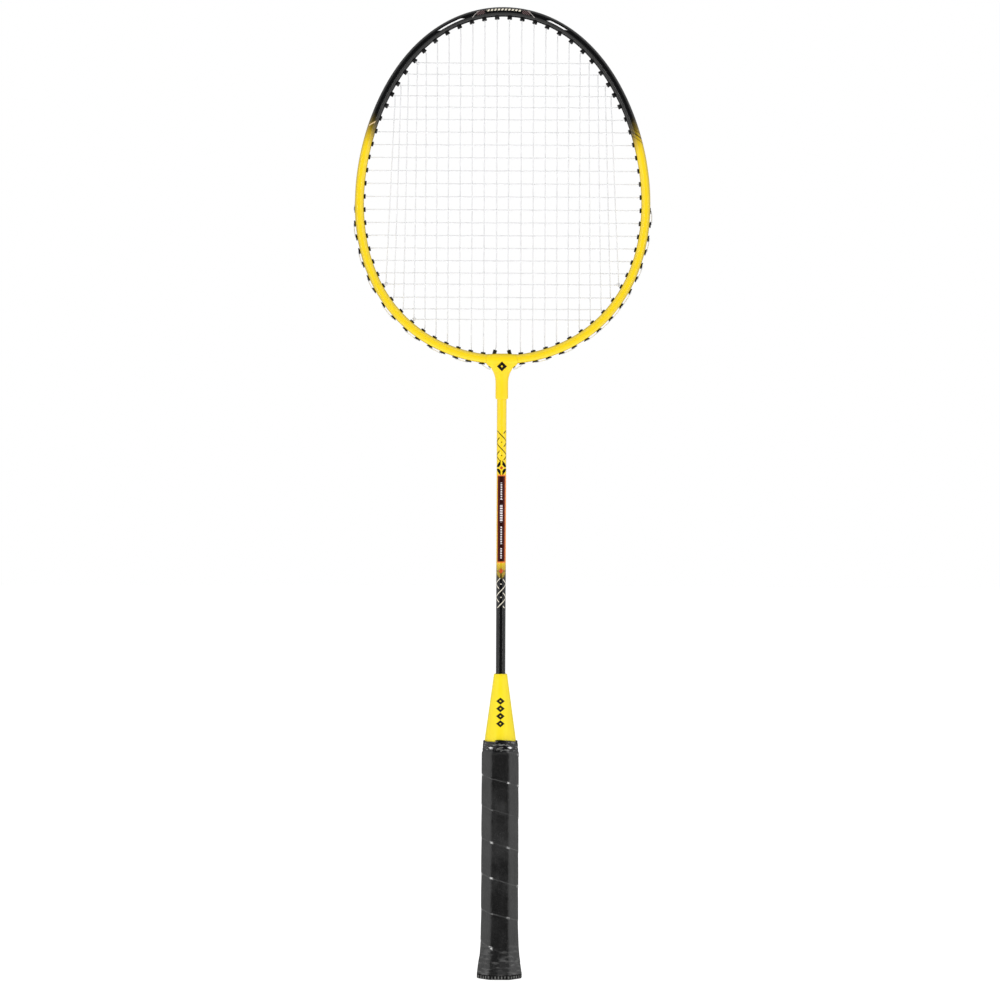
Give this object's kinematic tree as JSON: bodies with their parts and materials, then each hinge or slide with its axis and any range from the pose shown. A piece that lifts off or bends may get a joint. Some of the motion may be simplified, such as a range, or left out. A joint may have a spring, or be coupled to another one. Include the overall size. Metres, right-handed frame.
{
  "type": "badminton racket",
  "caption": "Badminton racket with an egg-shaped strung head, a T joint, a slim two-tone shaft, a cone and an octagonal wrapped handle.",
  "frame": {"origin": "centre of the flat butt face at the bottom of the handle", "axes": "+Z from the butt to the top of the head, along the shaft; +X to the right across the string bed; +Y through the string bed, away from the front face"},
  "size_m": [0.2064, 0.0286, 0.6668],
  "materials": {
    "head_paint": "gloss",
    "shaft_paint": "gloss",
    "yellow_plastic": "satin",
    "raw_alloy": "mill finish",
    "grommet_nylon": "moulded satin",
    "string_nylon": "smooth",
    "core_wood": "sanded",
    "grip_foam": "soft embossed synthetic leather",
    "black_plastic": "ribbed moulded",
    "black_tape": "gloss"
  },
  "bodies": {
    "root": {"butt_cap": "black_plastic", "cone": "yellow_plastic", "cross_string": "string_nylon", "finishing_tape": "black_tape", "frame_end_plug": "raw_alloy", "grip_wrap": "grip_foam", "grommet_left_01": "grommet_nylon", "grommet_left_02": "grommet_nylon", "grommet_left_03": "grommet_nylon", "grommet_left_04": "grommet_nylon", "grommet_left_05": "grommet_nylon", "grommet_left_06": "grommet_nylon", "grommet_left_07": "grommet_nylon", "grommet_left_08": "grommet_nylon", "grommet_left_09": "grommet_nylon", "grommet_left_10": "grommet_nylon", "grommet_left_11": "grommet_nylon", "grommet_left_12": "grommet_nylon", "grommet_left_13": "grommet_nylon", "grommet_left_14": "grommet_nylon", "grommet_left_15": "grommet_nylon", "grommet_left_16": "grommet_nylon", "grommet_left_17": "grommet_nylon", "grommet_right_01": "grommet_nylon", "grommet_right_02": "grommet_nylon", "grommet_right_03": "grommet_nylon", "grommet_right_04": "grommet_nylon", "grommet_right_05": "grommet_nylon", "grommet_right_06": "grommet_nylon", "grommet_right_07": "grommet_nylon", "grommet_right_08": "grommet_nylon", "grommet_right_09": "grommet_nylon", "grommet_right_10": "grommet_nylon", "grommet_right_11": "grommet_nylon", "grommet_right_12": "grommet_nylon", "grommet_right_13": "grommet_nylon", "grommet_right_14": "grommet_nylon", "grommet_right_15": "grommet_nylon", "grommet_right_16": "grommet_nylon", "grommet_right_17": "grommet_nylon", "grommet_top": "grommet_nylon", "handle_core": "core_wood", "head_frame": "head_paint", "main_string": "string_nylon", "shaft": "shaft_paint", "t_joint": "yellow_plastic", "throat_grommet_left": "grommet_nylon", "throat_grommet_right": "grommet_nylon"}
  },
  "joints": []
}
